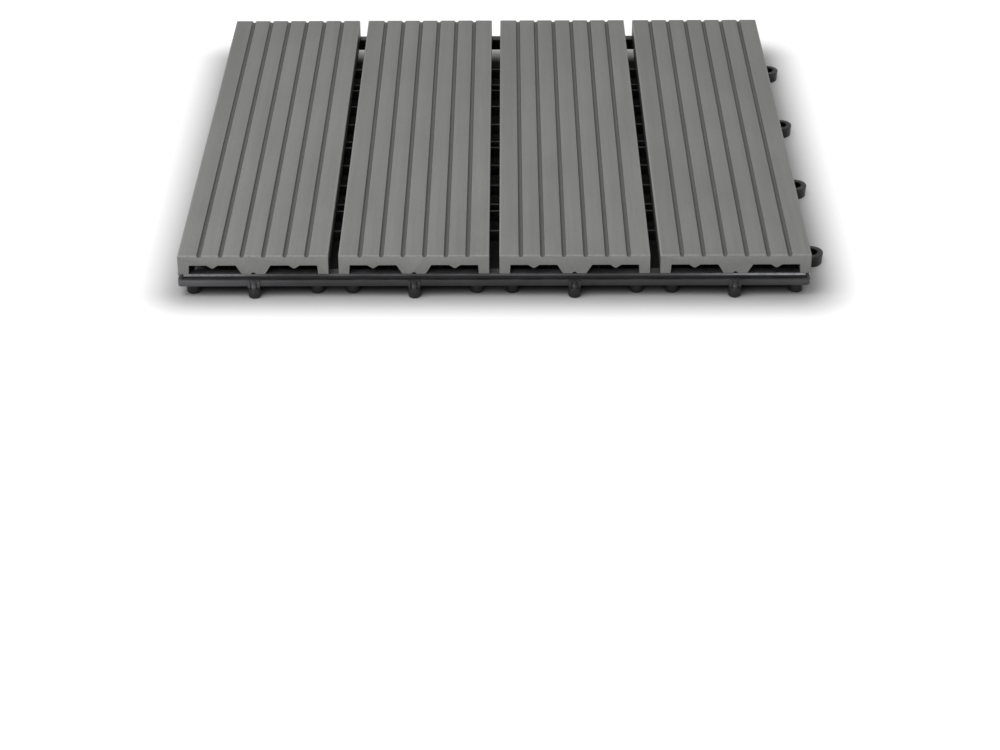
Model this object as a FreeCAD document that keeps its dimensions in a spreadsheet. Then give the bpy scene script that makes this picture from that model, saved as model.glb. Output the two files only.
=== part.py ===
import FreeCAD, Part
import os
import Sketcher

# Interlocking deck tile: four grooved composite planks screwed onto a moulded plastic grid.
# The planks run along Y. Pegs hang from the -X and -Y edges, loops reach out at +X and +Y.
# Lengths are in millimetres, +Z is up, and the feet stand on Z = 0.

doc = FreeCAD.newDocument("deck_tile")

SIZES = [
    # planks
    ("plank_count", 4),
    ("plank_width", 71.4),
    ("plank_gap", 4.8),
    ("plank_height", 9.8),
    ("plank_edge_radius", 0.6),
    ("tread_groove_count", 6),
    ("tread_groove_pitch", 10.2),
    ("tread_groove_width", 2.1),
    ("tread_groove_depth", 1.0),
    ("plank_leg_width", 5.3),
    ("plank_leg_taper", 0.3),
    ("channel_depth", 4.6),
    ("spine_root_width", 16.6),
    ("spine_foot_width", 11.1),
    ("spine_notch_radius", 1.1),
    ("spine_notch_height", 0.9),
    ("bump_offset", 19.4),
    ("bump_width", 5.4),
    ("bump_height", 1.6),
    ("bump_tip_radius", 1.3),
    ("bump_tip_half_angle", 35),
    # grid border
    ("foot_height", 6.0),
    ("border_height", 6.2),
    ("border_width", 5.5),
    ("border_corner_radius", 1.8),
    ("band_height", 3.1),
    ("band_reach", 0.5),
    ("flange_thickness", 1.0),
    ("flange_reach", 0.4),
    ("recess_depth", 2.2),
    ("corner_notch_width", 1.7),
    ("corner_notch_inset", 1.65),
    ("border_wall", 1.5),
    ("border_roof", 1.3),
    # grid ribs
    ("rib_thickness", 1.3),
    ("rib_drop", 0.8),
    ("inner_rib_offset", 12.05),
    ("edge_rib_offset", 34.3),
    # feet
    ("foot_diameter", 6.6),
    ("foot_offset", 29.6),
    ("foot_rim_chamfer", 0.6),
    ("foot_pad_width", 8.3),
    ("foot_pad_thickness", 1.3),
    ("foot_pad_lift", 0.4),
    # screw bosses
    ("screw_boss_diameter", 12.0),
    ("screw_boss_roof", 2.0),
    # pegs
    ("peg_diameter", 6.0),
    ("peg_inset", 0.75),
    ("peg_rim_chamfer", 0.6),
    ("peg_lug_width", 5.8),
    ("peg_lug_reach", 2.1),
    ("peg_slit_width", 0.8),
    ("peg_slit_offset", 1.4),
    ("peg_slit_depth", 1.2),
    ("peg_slit_drop", 1.1),
    # loops
    ("tile_gap", 2.9),
    ("loop_height", 5.5),
    ("loop_play", 0.8),
    ("loop_wall", 2.8),
    ("loop_draft_angle", 4),
    ("loop_flare_radius", 2.3),
    ("loop_root_margin", 0.2),
    # screws
    ("screw_shank_diameter", 3.5),
    ("screw_length", 9.5),
    ("screw_tip_length", 2.2),
    ("screw_tip_diameter", 0.6),
    ("screw_head_diameter", 7.2),
    ("screw_head_height", 2.1),
    ("screw_head_rim", 0.7),
    ("screw_crown_diameter", 5.2),
    ("screw_recess_width", 1.0),
    ("screw_recess_length", 4.0),
    ("screw_recess_depth", 1.2),
    ("screw_hole_clearance", 0.3),
    ("screw_head_clearance", 0.7),
    ("thread_clearance", 0.05),
    ("pilot_end_clearance", 0.5),
]

sheet = doc.addObject("Spreadsheet::Sheet", "sizes")
for row, (alias, size) in enumerate(SIZES, 1):
    sheet.set(f"A{row}", alias)
    sheet.set(f"B{row}", str(size))
    sheet.setAlias(f"B{row}", alias)
doc.recompute()

# Formulas that several pieces share
PITCH = "(sizes.plank_width + sizes.plank_gap)"
SIDE = f"({PITCH} * sizes.plank_count - sizes.plank_gap)"
FIRST = f"({PITCH} * (1 - sizes.plank_count) / 2)"
DECK = "(sizes.foot_height + sizes.border_height)"
EDGE = f"({SIDE} / 2)"
FLANGE_HALF = f"({EDGE} + sizes.flange_reach)"
WEB_HALF = f"({FLANGE_HALF} - sizes.recess_depth)"
BORDER_INNER = f"({EDGE} - sizes.border_width)"
RIB_HEIGHT = "(sizes.border_height - sizes.rib_drop)"
PEG_CENTRE = f"({EDGE} - sizes.peg_inset)"
LOOP_CENTRE = f"({EDGE} + sizes.tile_gap + sizes.peg_inset)"
LOOP_HOLE_RADIUS = "(sizes.peg_diameter / 2 + sizes.loop_play)"
LOOP_RADIUS = f"({LOOP_HOLE_RADIUS} + sizes.loop_wall)"
LOOP_DRAFT = "(sizes.loop_height * tan(sizes.loop_draft_angle))"
SCREW_SEAT = f"({DECK} - sizes.screw_boss_roof)"
HEAD_BORE_RADIUS = "(sizes.screw_head_diameter / 2 + sizes.screw_head_clearance)"
# The loops reach further out than the pegs: this centres the whole outline on the origin.
CENTRE_SHIFT = f"(({LOOP_CENTRE} + {LOOP_RADIUS} - {PEG_CENTRE} - sizes.peg_diameter / 2) / 2)"

# Two lengths that differ by less than this are taken as equal.
TOLERANCE = 0.001


def value(formula):
    """The present value of a formula, as a plain number."""
    result = sheet.evalExpression(formula)
    return float(getattr(result, "Value", result))


def bind(thing, **formulas):
    """Ties properties to formulas; double underscores stand for the dots of a path."""
    for path, formula in formulas.items():
        thing.setExpression(path.replace("__", "."), str(formula))


def new_body(label, x, y, z):
    body = doc.addObject("PartDesign::Body", label)
    body.Label = label
    bind(body, Placement__Base__x=x, Placement__Base__y=y, Placement__Base__z=z)
    return body


def origin_feature(body, role):
    return next(item for item in body.Origin.OriginFeatures if item.Role == role)


def new_sketch(body, name, plane):
    """A sketch on one of the body's own planes."""
    sketch = body.newObject("Sketcher::SketchObject", name)
    sketch.AttachmentSupport = [(origin_feature(body, plane), "")]
    sketch.MapMode = "FlatFace"
    return sketch


def fix_coordinate(sketch, kind, geometry, point, formula):
    """Holds one coordinate of a sketch point at a formula's value."""
    index = sketch.addConstraint(Sketcher.Constraint(kind, -1, 1, geometry, point, value(formula)))
    sketch.setExpression(f"Constraints[{index}]", formula)


def fix_point(sketch, geometry, point, u, v):
    fix_coordinate(sketch, "DistanceX", geometry, point, u)
    fix_coordinate(sketch, "DistanceY", geometry, point, v)


def draw_outline(sketch, corners):
    """Draws a closed outline. A corner is (u, v) or (u, v, centre_u, centre_v, turn), where the last
    three describe the arc that leaves that corner: +1 turns anticlockwise and -1 clockwise."""
    points = [FreeCAD.Vector(value(c[0]), value(c[1]), 0) for c in corners]
    indices = []
    for number, corner in enumerate(corners):
        start = points[number]
        end = points[(number + 1) % len(points)]
        if len(corner) == 2:
            indices.append((sketch.addGeometry(Part.LineSegment(start, end), False), 1, 2))
            continue
        centre = FreeCAD.Vector(value(corner[2]), value(corner[3]), 0)
        first, last = (start, end) if corner[4] > 0 else (end, start)
        circle = Part.Circle(centre, FreeCAD.Vector(0, 0, 1), (start - centre).Length)
        arc = Part.ArcOfCircle(circle, circle.parameter(first), circle.parameter(last))
        ends = (1, 2) if corner[4] > 0 else (2, 1)
        indices.append((sketch.addGeometry(arc, False), *ends))
    for number, (geometry, start_point, end_point) in enumerate(indices):
        following = indices[(number + 1) % len(indices)]
        joined = Sketcher.Constraint("Coincident", geometry, end_point, following[0], following[1])
        sketch.addConstraint(joined)
        fix_point(sketch, geometry, start_point, corners[number][0], corners[number][1])
        if len(corners[number]) > 2:
            # An arc with its ends above each other is held by its centre's u, any other by its v.
            start = points[number]
            end = points[(number + 1) % len(points)]
            axis = 0 if abs(start.x - end.x) < TOLERANCE else 1
            kind = ("DistanceX", "DistanceY")[axis]
            fix_coordinate(sketch, kind, geometry, 3, corners[number][2 + axis])


def pad(body, name, sketch, length, symmetric=False):
    feature = body.newObject("PartDesign::Pad", name)
    feature.Profile = sketch
    feature.SideType = "Symmetric" if symmetric else "One side"
    bind(feature, Length=length)
    return feature


def pocket_through(body, name, sketch):
    feature = body.newObject("PartDesign::Pocket", name)
    feature.Profile = sketch
    feature.SideType = "Symmetric"
    feature.Type = "ThroughAll"
    return feature


def block(body, name, width, depth, height, x, y, z, kind="Additive"):
    """A box centred on (x, y) whose lowest face is at z."""
    feature = body.newObject(f"PartDesign::{kind}Box", name)
    bind(feature, Length=width, Width=depth, Height=height)
    bind(
        feature,
        Placement__Base__x=f"{x} - ({width}) / 2",
        Placement__Base__y=f"{y} - ({depth}) / 2",
        Placement__Base__z=z,
    )
    return feature


def rod(body, name, radius, height, x, y, z, kind="Additive"):
    """An upright cylinder whose lowest face is at z."""
    feature = body.newObject(f"PartDesign::{kind}Cylinder", name)
    bind(feature, Radius=radius, Height=height)
    bind(feature, Placement__Base__x=x, Placement__Base__y=y, Placement__Base__z=z)
    return feature


def cone(body, name, low_radius, high_radius, height, x, y, z):
    feature = body.newObject("PartDesign::AdditiveCone", name)
    bind(feature, Radius1=low_radius, Radius2=high_radius, Height=height)
    bind(feature, Placement__Base__x=x, Placement__Base__y=y, Placement__Base__z=z)
    return feature


def chamfered_pin(body, name, diameter, chamfer, height, x, y):
    """A pin that stands on Z = 0, with its lower rim broken by a chamfer."""
    radius = f"{diameter} / 2"
    shaft = rod(body, f"{name}_shaft", radius, f"{height} - {chamfer}", x, y, chamfer)
    tip = cone(body, f"{name}_rim", f"{radius} - {chamfer}", radius, chamfer, x, y, "0")
    return [shaft, tip]


def repeat(body, name, originals, count_x=None, count_y=None, pitch=PITCH):
    """Repeats features along +X, along +Y, or over a grid."""
    feature = body.newObject("PartDesign::LinearPattern", name)
    feature.Originals = originals
    directions = [(role, count) for role, count in (("X_Axis", count_x), ("Y_Axis", count_y)) if count]
    for suffix, (role, count) in zip(("", "2"), directions):
        setattr(feature, f"Direction{suffix}", (origin_feature(body, role), [""]))
        setattr(feature, f"Mode{suffix}", "Spacing")
        bind(feature, **{f"Offset{suffix}": pitch, f"Occurrences{suffix}": count})
        # A spacing of -1 stands for the offset above.
        setattr(feature, f"Spacings{suffix}", [-1.0])
    body.Tip = feature
    return feature


def mirror(body, name, originals, plane):
    feature = body.newObject("PartDesign::Mirrored", name)
    feature.Originals = originals
    feature.MirrorPlane = (origin_feature(body, plane), [""])
    body.Tip = feature
    return feature


def round_edges(body, name, radius, wanted):
    """Rounds those edges of the body's last shape whose middle point is wanted."""
    doc.recompute()
    base = body.Tip
    edges = base.Shape.Edges
    names = [f"Edge{i}" for i, edge in enumerate(edges, 1) if wanted(edge)]
    feature = body.newObject("PartDesign::Fillet", name)
    feature.Base = (base, names)
    bind(feature, Radius=radius)
    body.Tip = feature
    return feature


def build_plank(number):
    """One extruded plank: grooved tread above, two open channels beside a middle spine below."""
    label = f"plank_{number + 1}"
    body = new_body(label, f"{FIRST} + {number} * {PITCH} - {CENTRE_SHIFT}", f"-{CENTRE_SHIFT}", DECK)
    half = "sizes.plank_width / 2"
    outline = new_sketch(body, f"{label}_outline", "XZ_Plane")
    draw_outline(
        outline,
        [
            (f"-{half}", "0"),
            (half, "0"),
            (half, "sizes.plank_height"),
            (f"-{half}", "sizes.plank_height"),
        ],
    )
    pad(body, f"{label}_blank", outline, SIDE, symmetric=True)
    half_width = value(half)

    def is_long_outer_edge(edge):
        middle = edge.CenterOfMass
        return abs(abs(middle.x) - half_width) < TOLERANCE and abs(middle.y) < TOLERANCE

    round_edges(body, f"{label}_rounding", "sizes.plank_edge_radius", is_long_outer_edge)

    groove_radius = (
        "((sizes.tread_groove_width ^ 2 / 4 + sizes.tread_groove_depth ^ 2)"
        " / (2 * sizes.tread_groove_depth))"
    )
    groove_line = new_sketch(body, f"{label}_groove_line", "XZ_Plane")
    start = "sizes.tread_groove_pitch * (1 - sizes.tread_groove_count) / 2"
    height = f"sizes.plank_height - sizes.tread_groove_depth + {groove_radius}"
    centre = FreeCAD.Vector(value(start), value(height), 0)
    circle = Part.Circle(centre, FreeCAD.Vector(0, 0, 1), value(groove_radius))
    geometry = groove_line.addGeometry(circle, False)
    fix_point(groove_line, geometry, 3, start, height)
    radius = groove_line.addConstraint(Sketcher.Constraint("Radius", geometry, value(groove_radius)))
    groove_line.setExpression(f"Constraints[{radius}]", groove_radius)
    groove = pocket_through(body, f"{label}_groove", groove_line)
    repeat(
        body,
        f"{label}_grooves",
        [groove],
        count_x="sizes.tread_groove_count",
        pitch="sizes.tread_groove_pitch",
    )

    # One channel, whose ceiling carries a rounded bump
    leg_inner = f"({half} - sizes.plank_leg_width)"
    channel_line = new_sketch(body, f"{label}_channel_line", "XZ_Plane")
    roof = "sizes.channel_depth"
    draw_outline(
        channel_line,
        [
            ("sizes.spine_foot_width / 2", "0"),
            (f"{leg_inner} + sizes.plank_leg_taper", "0"),
            (leg_inner, roof),
            ("sizes.spine_root_width / 2", roof),
        ],
    )
    channel = pocket_through(body, f"{label}_channel", channel_line)
    bump_line = new_sketch(body, f"{label}_bump_line", "XZ_Plane")
    tip = "sizes.bump_tip_radius"
    tip_height = f"({roof} - sizes.bump_height + {tip} * (1 - cos(sizes.bump_tip_half_angle)))"
    tip_half = f"({tip} * sin(sizes.bump_tip_half_angle))"
    draw_outline(
        bump_line,
        [
            ("sizes.bump_offset + sizes.bump_width / 2", roof),
            ("sizes.bump_offset - sizes.bump_width / 2", roof),
            (
                f"sizes.bump_offset - {tip_half}",
                tip_height,
                "sizes.bump_offset",
                f"{roof} - sizes.bump_height + {tip}",
                1,
            ),
            (f"sizes.bump_offset + {tip_half}", tip_height),
        ],
    )
    bump = pad(body, f"{label}_bump", bump_line, SIDE, symmetric=True)
    mirror(body, f"{label}_other_channel", [channel, bump], "YZ_Plane")

    notch_radius = "sizes.spine_notch_radius"
    notch = body.newObject("PartDesign::SubtractiveCylinder", f"{label}_notch")
    notch.Placement.Rotation = FreeCAD.Rotation(FreeCAD.Vector(1, 0, 0), -90)
    bind(notch, Radius=notch_radius, Height=f"{SIDE} + 2 * {notch_radius}")
    bind(
        notch,
        Placement__Base__y=f"-{SIDE} / 2 - {notch_radius}",
        Placement__Base__z=f"sizes.spine_notch_height - {notch_radius}",
    )
    pilot = rod(
        body,
        f"{label}_pilot",
        "sizes.screw_shank_diameter / 2 + sizes.thread_clearance",
        "sizes.screw_length - sizes.screw_boss_roof + sizes.pilot_end_clearance",
        "0",
        FIRST,
        "0",
        kind="Subtractive",
    )
    repeat(body, f"{label}_pilots", [pilot], count_y="sizes.plank_count")
    return body


def build_border():
    """The border: a lower band, a recessed web and a top flange, hollow from below."""
    body = new_body("border", "0", "0", "0")
    base = "sizes.foot_height"
    band_top = f"({base} + sizes.band_height)"
    # The band reaches out under the peg edges only, so that a neighbour's pegs pass the loop edges.
    band = f"({SIDE} + sizes.band_reach)"
    band_centre = "(-sizes.band_reach / 2)"
    block(body, "border_band", band, band, "sizes.band_height", band_centre, band_centre, base)
    web_height = f"{DECK} - {band_top} - sizes.flange_thickness"
    block(body, "border_web", f"2 * {WEB_HALF}", f"2 * {WEB_HALF}", web_height, "0", "0", band_top)
    flange = f"2 * {FLANGE_HALF}"
    flange_foot = f"{DECK} - sizes.flange_thickness"
    block(body, "border_flange", flange, flange, "sizes.flange_thickness", "0", "0", flange_foot)
    inner = value(BORDER_INNER)

    def is_corner(edge):
        middle = edge.CenterOfMass
        upright = abs(edge.BoundBox.ZLength - edge.Length) < TOLERANCE
        return upright and abs(middle.x) > inner and abs(middle.y) > inner

    round_edges(body, "border_corners", "sizes.border_corner_radius", is_corner)
    # A notch near each end of the front and back flanges
    for sign_x in (-1, 1):
        for sign_y in (-1, 1):
            block(
                body,
                f"border_notch_{'w' if sign_x < 0 else 'e'}{'s' if sign_y < 0 else 'n'}",
                "sizes.corner_notch_width",
                "2 * sizes.recess_depth",
                f"{DECK} - {band_top}",
                f"{sign_x} * ({EDGE} - sizes.corner_notch_inset)",
                f"{sign_y} * {FLANGE_HALF}",
                band_top,
                "Subtractive",
            )
    trough = f"2 * ({WEB_HALF} - sizes.border_wall)"
    trough_height = "sizes.border_height - sizes.border_roof"
    block(body, "border_trough", trough, trough, trough_height, "0", "0", base, "Subtractive")
    wall = f"2 * ({BORDER_INNER} + sizes.border_wall)"
    block(body, "border_inner_wall", wall, wall, "sizes.border_height", "0", "0", base)
    hollow = f"2 * {BORDER_INNER}"
    body.Tip = block(body, "border_hollow", hollow, hollow, DECK, "0", "0", "0", "Subtractive")
    return body


def open_stretches(ribs):
    """The clear stretches between parallel ribs, from one inner face of the border to the other."""
    half_rib = value("sizes.rib_thickness") / 2
    end = value(BORDER_INNER)
    limits = [-end] + [side for rib in ribs for side in (rib - half_rib, rib + half_rib)] + [end]
    return list(zip(limits[0::2], limits[1::2]))


def polygon(corners):
    """A closed outline on Z = 0."""
    return Part.makePolygon([FreeCAD.Vector(x, y, 0) for x, y in [*corners, corners[0]]])


def cell_outline(stretch_x, stretch_y):
    """One rectangular cell."""
    (x0, x1), (y0, y1) = stretch_x, stretch_y
    return polygon([(x0, y0), (x1, y0), (x1, y1), (x0, y1)])


def boss_cell_outline(stretch_x, stretch_y):
    """The cell round a screw boss: four rib stubs reach in from its sides and end in the boss wall."""
    half_cell = (stretch_x[1] - stretch_x[0]) / 2
    middle_x = sum(stretch_x) / 2
    middle_y = sum(stretch_y) / 2
    half_rib = value("sizes.rib_thickness") / 2
    stub_end = value(f"(sizes.screw_boss_diameter / 2 + {HEAD_BORE_RADIUS}) / 2")
    # The +X side of the cell, from its lower corner to its upper one
    side = [
        (half_cell, -half_cell),
        (half_cell, -half_rib),
        (stub_end, -half_rib),
        (stub_end, half_rib),
        (half_cell, half_rib),
    ]
    corners = []
    for turn in range(4):
        corners += [(middle_x + u, middle_y + v) for u, v in side]
        side = [(-v, u) for u, v in side]
    return polygon(corners)


def build_lattice():
    """The ribs inside the border, as one plate pierced by the cells between them."""
    first = value(FIRST)
    pitch = value(PITCH)
    inner = value("sizes.inner_rib_offset")
    edge = value("sizes.edge_rib_offset")
    end = value(BORDER_INNER)
    centres = [first + number * pitch for number in range(int(value("sizes.plank_count")))]
    inner_ribs = [centre + offset for centre in centres for offset in (-inner, inner)]
    edge_ribs = [rib for centre in centres for rib in (centre - edge, centre + edge) if abs(rib) < end]
    stretches = open_stretches(sorted(inner_ribs + edge_ribs))
    # The outermost of the inner ribs stop at the seams between the modules.
    seam_stretches = open_stretches(sorted(inner_ribs[1:-1] + edge_ribs))

    def in_seam(stretch):
        middle = (stretch[0] + stretch[1]) / 2
        return all(abs(middle - centre) > edge for centre in centres)

    def in_boss(stretch):
        middle = (stretch[0] + stretch[1]) / 2
        return any(abs(middle - centre) < inner / 2 for centre in centres)

    cells = []
    for stretch_x in stretches:
        for stretch_y in seam_stretches if in_seam(stretch_x) else stretches:
            if in_seam(stretch_y) and not in_seam(stretch_x):
                continue
            if in_boss(stretch_x) and in_boss(stretch_y):
                cells.append(boss_cell_outline(stretch_x, stretch_y))
            else:
                cells.append(cell_outline(stretch_x, stretch_y))
    for stretch_y in filter(in_seam, stretches):
        cells += [cell_outline(x, stretch_y) for x in seam_stretches if not in_seam(x)]

    rim = end + value("sizes.border_wall") / 2
    face = Part.makeFace([cell_outline((-rim, rim), (-rim, rim)), *cells], "Part::FaceMakerBullseye")
    plate = face.extrude(FreeCAD.Vector(0, 0, value(RIB_HEIGHT)))
    lattice = doc.addObject("Part::Feature", "lattice")
    lattice.Shape = plate
    bind(lattice, Placement__Base__z="sizes.foot_height")
    return lattice


def build_feet():
    """A round foot under a small floor plate in each corner of each module."""
    body = new_body("feet", "0", "0", "0")
    features = []
    for sign_x in (-1, 1):
        for sign_y in (-1, 1):
            name = f"foot_{'w' if sign_x < 0 else 'e'}{'s' if sign_y < 0 else 'n'}"
            x = f"{FIRST} + {sign_x} * sizes.foot_offset"
            y = f"{FIRST} + {sign_y} * sizes.foot_offset"
            height = "(sizes.foot_height + sizes.foot_pad_lift + sizes.foot_pad_thickness)"
            pad_offset = "(sizes.edge_rib_offset - sizes.foot_pad_width / 2)"
            features.append(
                block(
                    body,
                    f"{name}_plate",
                    "sizes.foot_pad_width",
                    "sizes.foot_pad_width",
                    "sizes.foot_pad_thickness",
                    f"{FIRST} + {sign_x} * {pad_offset}",
                    f"{FIRST} + {sign_y} * {pad_offset}",
                    "sizes.foot_height + sizes.foot_pad_lift",
                )
            )
            features += chamfered_pin(
                body, name, "sizes.foot_diameter", "sizes.foot_rim_chamfer", height, x, y
            )
    repeat(body, "all_feet", features, count_x="sizes.plank_count", count_y="sizes.plank_count")
    return body


def build_screw_bosses():
    """A boss in the middle of each module, bored for the screw and its head."""
    body = new_body("screw_bosses", "0", "0", "0")
    base = "sizes.foot_height"
    shank_radius = "sizes.screw_shank_diameter / 2 + sizes.screw_hole_clearance"
    features = [
        rod(body, "boss", "sizes.screw_boss_diameter / 2", "sizes.border_height", FIRST, FIRST, base),
    ]
    repeat(body, "bosses", features, count_x="sizes.plank_count", count_y="sizes.plank_count")
    bores = [
        rod(body, "boss_head_bore", HEAD_BORE_RADIUS, SCREW_SEAT, FIRST, FIRST, "0", "Subtractive"),
        rod(body, "boss_shank_bore", shank_radius, DECK, FIRST, FIRST, "0", "Subtractive"),
    ]
    repeat(body, "boss_bores", bores, count_x="sizes.plank_count", count_y="sizes.plank_count")
    return body


def build_pegs(side):
    """Round pegs under the -X or -Y edge, each below a lug on the band with two slits in its front."""
    body = new_body(f"{side}_pegs", "0", "0", "0")
    front = side == "front"
    count = {"count_x" if front else "count_y": "sizes.plank_count"}

    def turned(along, across):
        """A pair of sizes or a place along and across the edge, in the order X, Y."""
        return (along, across) if front else (across, along)

    lug_front = f"({EDGE} + sizes.peg_lug_reach)"
    lug_depth = f"({lug_front} - {WEB_HALF} + sizes.border_wall)"
    lug_centre = f"(-{lug_front} + {lug_depth} / 2)"
    base = "sizes.foot_height"
    tall = "sizes.band_height"
    lug_size = turned("sizes.peg_lug_width", lug_depth)
    lug = block(body, f"{side}_peg_lug", *lug_size, tall, *turned(FIRST, lug_centre), base)
    place = turned(FIRST, f"(-{PEG_CENTRE})")
    pin = chamfered_pin(body, f"{side}_peg", "sizes.peg_diameter", "sizes.peg_rim_chamfer", base, *place)
    repeat(body, f"{side}_pins", [lug, *pin], **count)
    slit_size = turned("sizes.peg_slit_width", "sizes.peg_slit_depth")
    slit_centre = f"(-{lug_front} + sizes.peg_slit_depth / 2)"
    slits = [
        block(
            body,
            f"{side}_peg_slit_{name}",
            *slit_size,
            f"{tall} + sizes.peg_slit_drop",
            *turned(f"({FIRST} + {sign} * sizes.peg_slit_offset)", slit_centre),
            f"{base} - sizes.peg_slit_drop",
            "Subtractive",
        )
        for name, sign in (("a", -1), ("b", 1))
    ]
    repeat(body, f"{side}_peg_slits", slits, **count)
    return body


def shift_corner(corner, across, along, swap):
    """Moves an outline corner, and swaps its two coordinates for the outline's mirror image."""
    u, v, *arc = corner
    turn = arc[2:]
    pairs = [(u, v)] + ([(arc[0], arc[1])] if arc else [])
    if swap:
        pairs = [(second, first) for first, second in pairs]
        turn = [-number for number in turn]
    moved = [(f"{across} + {first}", f"{along} + {second}") for first, second in pairs]
    return (*moved[0], *(moved[1] if arc else ()), *turn)


def build_loops(side):
    """Flat loops at the foot of the +X or +Y edge, which a neighbour's pegs drop into."""
    body = new_body(f"{side}_loops", "0", "0", "0")
    right = side == "right"
    count_key = "count_y" if right else "count_x"
    flare = "sizes.loop_flare_radius"
    margin = "sizes.loop_root_margin"
    # The outline lies at the foot. The tab widens upwards by its draft, and starts inside its root.
    foot = f"({LOOP_RADIUS} - {LOOP_DRAFT})"
    bend = f"({foot} + {flare})"
    start = f"({BORDER_INNER} + sizes.border_wall)"
    edge = f"({EDGE} - {LOOP_DRAFT} - {margin})"
    arm = f"({edge} + {flare})"
    corners = [
        (start, f"-{bend}"),
        (edge, f"-{bend}", arm, f"-{bend}", -1),
        (arm, f"-{foot}"),
        (LOOP_CENTRE, f"-{foot}", LOOP_CENTRE, "0", 1),
        (LOOP_CENTRE, foot),
        (arm, foot, arm, bend, -1),
        (edge, bend),
        (start, bend),
    ]
    sketch = new_sketch(body, f"{side}_loop_line", "XY_Plane")
    if right:
        placed = [shift_corner(corner, "0", FIRST, False) for corner in corners]
    else:
        placed = [shift_corner(corner, FIRST, "0", True) for corner in corners]
    draw_outline(sketch, placed)
    tab = pad(body, f"{side}_loop_tab", sketch, "sizes.loop_height")
    bind(tab, TaperAngle="sizes.loop_draft_angle")
    root_depth = "sizes.border_width"
    root_centre = f"({EDGE} + {BORDER_INNER}) / 2"
    root_width = f"2 * ({LOOP_RADIUS} + {flare} + {margin})"
    root_size = (root_depth, root_width) if right else (root_width, root_depth)
    root_place = (root_centre, FIRST) if right else (FIRST, root_centre)
    hole_place = (LOOP_CENTRE, FIRST) if right else (FIRST, LOOP_CENTRE)
    height = "sizes.foot_height"
    root = block(body, f"{side}_loop_root", *root_size, height, *root_place, "0")
    hole = rod(body, f"{side}_loop_hole", LOOP_HOLE_RADIUS, height, *hole_place, "0", "Subtractive")
    repeat(body, f"{side}_loop_row", [tab, root, hole], **{count_key: "sizes.plank_count"})
    return body


def build_grid():
    """The moulded grid: one piece with its border, ribs, feet, screw bosses, pegs and loops."""
    features = [
        build_border(),
        build_lattice(),
        build_feet(),
        build_screw_bosses(),
        build_pegs("front"),
        build_pegs("left"),
        build_loops("right"),
        build_loops("back"),
    ]
    grid = doc.addObject("Part::MultiFuse", "base_grid")
    grid.Label = "base_grid"
    grid.Shapes = features
    grid.Refine = False
    bind(grid, Placement__Base__x=f"-{CENTRE_SHIFT}", Placement__Base__y=f"-{CENTRE_SHIFT}")
    return grid


def build_screws():
    """Pan-head screws, one up through each boss into the spine of the plank above."""
    body = new_body("screws", f"-{CENTRE_SHIFT}", f"-{CENTRE_SHIFT}", "0")
    head_foot = f"({SCREW_SEAT} - sizes.screw_head_height)"
    dome_height = "sizes.screw_head_height - sizes.screw_head_rim"
    rim_foot = f"{SCREW_SEAT} - sizes.screw_head_rim"
    crown = "sizes.screw_crown_diameter / 2"
    head = "sizes.screw_head_diameter / 2"
    tip = "sizes.screw_tip_diameter / 2"
    shank = "sizes.screw_shank_diameter / 2"
    shank_height = "sizes.screw_length - sizes.screw_tip_length"
    tip_foot = f"{SCREW_SEAT} + {shank_height}"
    form = [
        cone(body, "screw_dome", crown, head, dome_height, FIRST, FIRST, head_foot),
        rod(body, "screw_rim", head, "sizes.screw_head_rim", FIRST, FIRST, rim_foot),
        rod(body, "screw_shank", shank, shank_height, FIRST, FIRST, SCREW_SEAT),
        cone(body, "screw_tip", shank, tip, "sizes.screw_tip_length", FIRST, FIRST, tip_foot),
    ]
    repeat(body, "screw_forms", form, count_x="sizes.plank_count", count_y="sizes.plank_count")
    length = "sizes.screw_recess_length"
    width = "sizes.screw_recess_width"
    depth = "sizes.screw_recess_depth"
    recess = [
        block(body, "recess_x", length, width, depth, FIRST, FIRST, head_foot, "Subtractive"),
        block(body, "recess_y", width, length, depth, FIRST, FIRST, head_foot, "Subtractive"),
    ]
    repeat(body, "screw_recesses", recess, count_x="sizes.plank_count", count_y="sizes.plank_count")
    return body


def check_document(pieces):
    """Stops if any object failed, or a piece has no sound shape."""
    for item in doc.Objects:
        if "Invalid" in item.State or "Error" in item.State:
            raise RuntimeError(f"{item.Name} failed: {item.State}")
    for piece in pieces:
        if piece.Shape.isNull() or not piece.Shape.isValid() or not piece.Shape.Solids:
            raise RuntimeError(f"{piece.Label} has no sound shape")


def main():
    pieces = [build_grid(), build_screws()]
    pieces += [build_plank(number) for number in range(int(value("sizes.plank_count")))]
    doc.recompute()
    check_document(pieces)
    os.makedirs("parts", exist_ok=True)
    for piece in pieces:
        piece.Shape.exportStep(f"parts/{piece.Label}.step")
        box = piece.Shape.BoundBox
        print(
            piece.Label,
            len(piece.Shape.Solids),
            "solids, volume",
            round(piece.Shape.Volume, 1),
            [round(edge, 2) for edge in (box.XMin, box.YMin, box.ZMin, box.XMax, box.YMax, box.ZMax)],
        )


main()
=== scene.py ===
from math import cos, pi, radians, sin

import bmesh
import bpy
from mathutils import Matrix, Vector


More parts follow.
